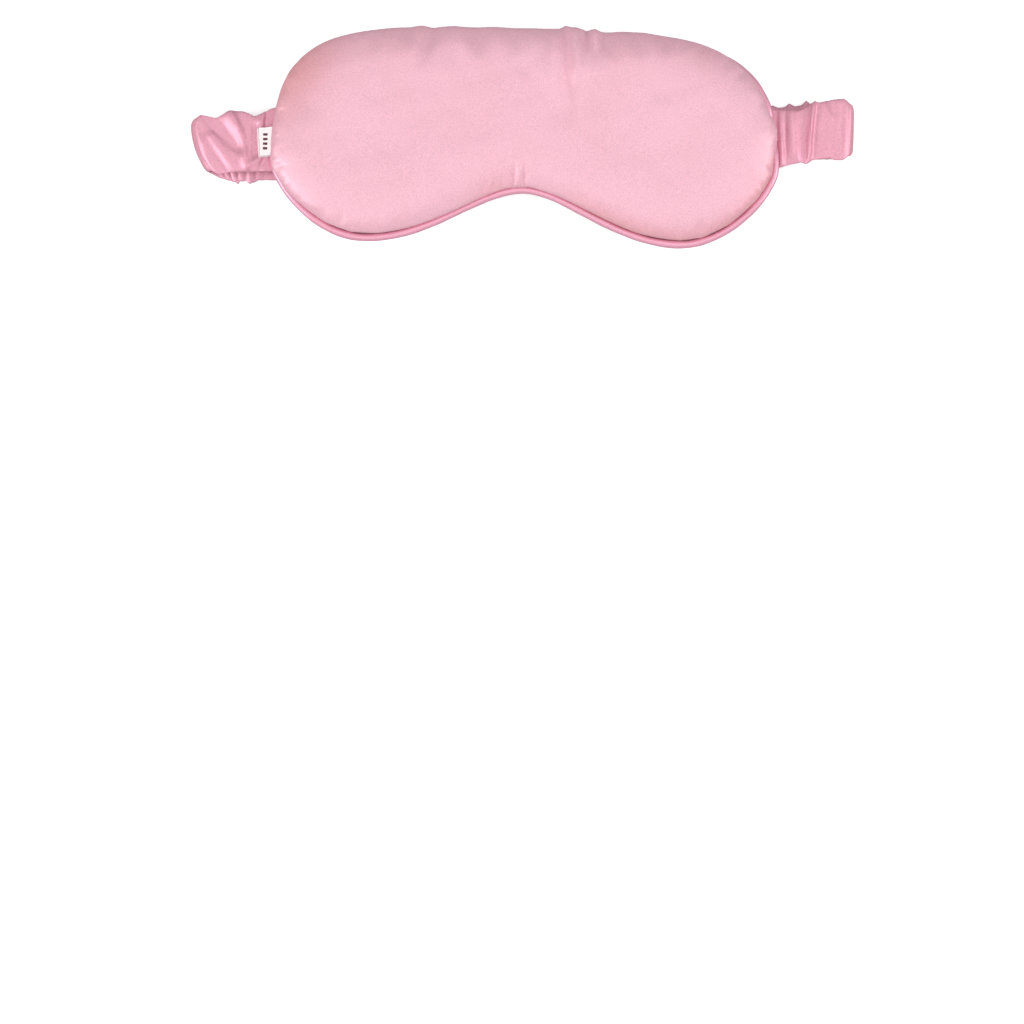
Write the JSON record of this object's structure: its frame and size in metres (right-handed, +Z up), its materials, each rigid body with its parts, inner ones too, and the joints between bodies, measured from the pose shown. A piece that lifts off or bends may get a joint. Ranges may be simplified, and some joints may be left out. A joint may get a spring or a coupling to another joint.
{
  "type": "sleep eye mask",
  "caption": "Padded satin sleep mask with piped edge and a gathered elastic strap that opens from flat into a loop for the head.",
  "frame": {"origin": "bottom centre of the box, on the surface the mask lies on, under the middle of the strap's back run", "axes": "+Z up out of the front panel, +X along the mask towards its right side as seen from the front, +Y towards the forehead edge"},
  "size_m": [0.279, 0.091, 0.0191],
  "materials": {
    "satin_panel": "soft satin, fine grain, sheen",
    "satin_piping": "bias-cut satin wrapped round a cord",
    "satin_strap": "gathered satin",
    "elastic": "ribbed woven elastic",
    "wadding": "fibre filling",
    "dark_lining": "matt woven interlining",
    "cotton_cord": "twisted cotton",
    "woven_label": "plain woven ribbon",
    "thread": "polyester thread"
  },
  "bodies": {
    "mask": {"front_panel": "satin_panel", "back_panel": "satin_panel", "wadding": "wadding", "blackout_lining": "dark_lining", "piping_cover": "satin_piping", "piping_cord": "cotton_cord", "anchor_casing_left": "satin_strap", "anchor_casing_right": "satin_strap", "anchor_elastic_left": "elastic", "anchor_elastic_right": "elastic", "bartack_left": "thread", "bartack_right": "thread"},
    "label": {"side_label": "woven_label"},
    "strap_left_0": {"back_casing_left_0": "satin_strap", "back_elastic_left_0": "elastic"},
    "strap_left_1": {"back_casing_left_1": "satin_strap", "back_elastic_left_1": "elastic"},
    "strap_left_2": {"back_casing_left_2": "satin_strap", "back_elastic_left_2": "elastic"},
    "strap_left_3": {"back_casing_left_3": "satin_strap", "back_elastic_left_3": "elastic"},
    "strap_left_4": {"back_casing_left_4": "satin_strap", "back_elastic_left_4": "elastic"},
    "strap_left_fold": {"fold_casing_left": "satin_strap", "fold_elastic_left": "elastic"},
    "strap_left_tab": {"tab_casing_left": "satin_strap", "tab_elastic_left": "elastic"},
    "strap_right_0": {"back_casing_right_0": "satin_strap", "back_elastic_right_0": "elastic"},
    "strap_right_1": {"back_casing_right_1": "satin_strap", "back_elastic_right_1": "elastic"},
    "strap_right_2": {"back_casing_right_2": "satin_strap", "back_elastic_right_2": "elastic"},
    "strap_right_3": {"back_casing_right_3": "satin_strap", "back_elastic_right_3": "elastic"},
    "strap_right_4": {"back_casing_right_4": "satin_strap", "back_elastic_right_4": "elastic"},
    "strap_right_fold": {"fold_casing_right": "satin_strap", "fold_elastic_right": "elastic"},
    "strap_right_tab": {"tab_casing_right": "satin_strap", "tab_elastic_right": "elastic"}
  },
  "joints": [
    {"name": "strap_seam_left", "type": "hinge", "parent": "mask", "child": "strap_left_tab", "pos_m": [-0.1096, 0, 0.0089], "axis": [0, -1, 0], "range_deg": [0, 90]},
    {"name": "strap_fold_upper_left", "type": "hinge", "parent": "strap_left_tab", "child": "strap_left_fold", "pos_m": [-0.138, 0, 0.0089], "axis": [0, 1, 0], "range_deg": [0, 76]},
    {"name": "strap_fold_lower_left", "type": "hinge", "parent": "strap_left_fold", "child": "strap_left_4", "pos_m": [-0.138, 0, 0.0015], "axis": [0, 1, 0], "range_deg": [0, 78]},
    {"name": "strap_bend_left_4", "type": "hinge", "parent": "strap_left_4", "child": "strap_left_3", "pos_m": [-0.108, 0, 0.0015], "axis": [0, -1, 0], "range_deg": [0, 18]},
    {"name": "strap_bend_left_3", "type": "hinge", "parent": "strap_left_3", "child": "strap_left_2", "pos_m": [-0.078, 0, 0.0015], "axis": [0, -1, 0], "range_deg": [0, 16]},
    {"name": "strap_bend_left_2", "type": "hinge", "parent": "strap_left_2", "child": "strap_left_1", "pos_m": [-0.048, 0, 0.0015], "axis": [0, -1, 0], "range_deg": [0, 15]},
    {"name": "strap_bend_left_1", "type": "hinge", "parent": "strap_left_1", "child": "strap_left_0", "pos_m": [-0.018, 0, 0.0015], "axis": [0, -1, 0], "range_deg": [0, 15]},
    {"name": "strap_seam_right", "type": "hinge", "parent": "mask", "child": "strap_right_tab", "pos_m": [0.1096, 0, 0.0089], "axis": [0, 1, 0], "range_deg": [0, 90]},
    {"name": "strap_fold_upper_right", "type": "hinge", "parent": "strap_right_tab", "child": "strap_right_fold", "pos_m": [0.138, 0, 0.0089], "axis": [0, -1, 0], "range_deg": [0, 76]},
    {"name": "strap_fold_lower_right", "type": "hinge", "parent": "strap_right_fold", "child": "strap_right_4", "pos_m": [0.138, 0, 0.0015], "axis": [0, -1, 0], "range_deg": [0, 78]},
    {"name": "strap_bend_right_4", "type": "hinge", "parent": "strap_right_4", "child": "strap_right_3", "pos_m": [0.108, 0, 0.0015], "axis": [0, 1, 0], "range_deg": [0, 18]},
    {"name": "strap_bend_right_3", "type": "hinge", "parent": "strap_right_3", "child": "strap_right_2", "pos_m": [0.078, 0, 0.0015], "axis": [0, 1, 0], "range_deg": [0, 16]},
    {"name": "strap_bend_right_2", "type": "hinge", "parent": "strap_right_2", "child": "strap_right_1", "pos_m": [0.048, 0, 0.0015], "axis": [0, 1, 0], "range_deg": [0, 15]},
    {"name": "strap_bend_right_1", "type": "hinge", "parent": "strap_right_1", "child": "strap_right_0", "pos_m": [0.018, 0, 0.0015], "axis": [0, 1, 0], "range_deg": [0, 15]},
    {"name": "label_flip", "type": "hinge", "parent": "mask", "child": "label", "pos_m": [-0.108, 0, 0.01103], "axis": [0, 1, 0], "range_deg": [0, 90]}
  ],
  "couplings": [
    {"joint": "strap_fold_upper_left", "follows": "strap_seam_left", "ratio": 0.84444},
    {"joint": "strap_fold_lower_left", "follows": "strap_seam_left", "ratio": 0.86666},
    {"joint": "strap_bend_left_4", "follows": "strap_seam_left", "ratio": 0.2},
    {"joint": "strap_bend_left_3", "follows": "strap_seam_left", "ratio": 0.17777},
    {"joint": "strap_bend_left_2", "follows": "strap_seam_left", "ratio": 0.16666},
    {"joint": "strap_bend_left_1", "follows": "strap_seam_left", "ratio": 0.16666},
    {"joint": "strap_seam_right", "follows": "strap_seam_left", "ratio": 1},
    {"joint": "strap_fold_upper_right", "follows": "strap_seam_left", "ratio": 0.84444},
    {"joint": "strap_fold_lower_right", "follows": "strap_seam_left", "ratio": 0.86666},
    {"joint": "strap_bend_right_4", "follows": "strap_seam_left", "ratio": 0.2},
    {"joint": "strap_bend_right_3", "follows": "strap_seam_left", "ratio": 0.17777},
    {"joint": "strap_bend_right_2", "follows": "strap_seam_left", "ratio": 0.16666},
    {"joint": "strap_bend_right_1", "follows": "strap_seam_left", "ratio": 0.16666}
  ]
}
